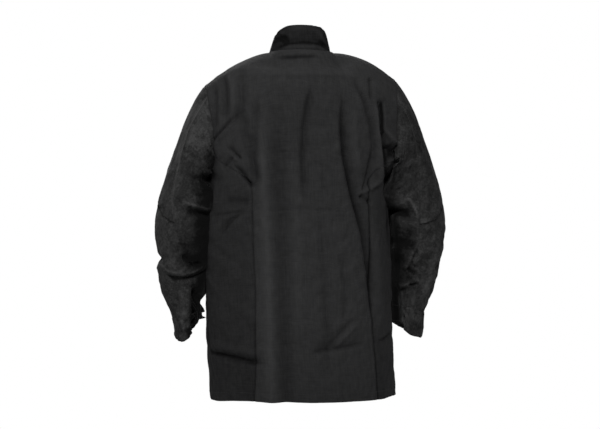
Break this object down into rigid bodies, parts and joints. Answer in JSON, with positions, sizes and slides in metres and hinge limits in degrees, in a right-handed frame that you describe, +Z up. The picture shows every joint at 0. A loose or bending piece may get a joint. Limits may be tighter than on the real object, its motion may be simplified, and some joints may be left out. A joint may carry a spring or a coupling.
{
  "type": "welding jacket",
  "caption": "Long closed work jacket with a cotton body and stand collar, leather sleeves seamed at the elbow, and lapped leather cuffs; protects a welder from sparks.",
  "frame": {"origin": "middle of the neck opening, at the height where the jacket sits on the shoulders", "axes": "+Z up from the hem to the collar, +X to the wearer's left, +Y out of the back, so the wearer faces -Y"},
  "size_m": [0.6697, 0.3338, 0.8438],
  "materials": {
    "cotton": "matte black cotton twill",
    "leather": "matte black split cowhide with a suede nap",
    "snap": "black lacquered"
  },
  "bodies": {
    "root": {"back_panel": "cotton", "front_panel_left": "cotton", "front_panel_right": "cotton", "collar": "cotton", "upper_sleeve_left": "leather", "lower_sleeve_left": "leather", "under_sleeve_left": "leather", "cuff_left": "leather", "upper_sleeve_right": "leather", "lower_sleeve_right": "leather", "under_sleeve_right": "leather", "cuff_right": "leather", "front_snap_1": "snap", "front_snap_2": "snap", "front_snap_3": "snap", "front_snap_4": "snap", "front_snap_5": "snap"}
  },
  "joints": []
}
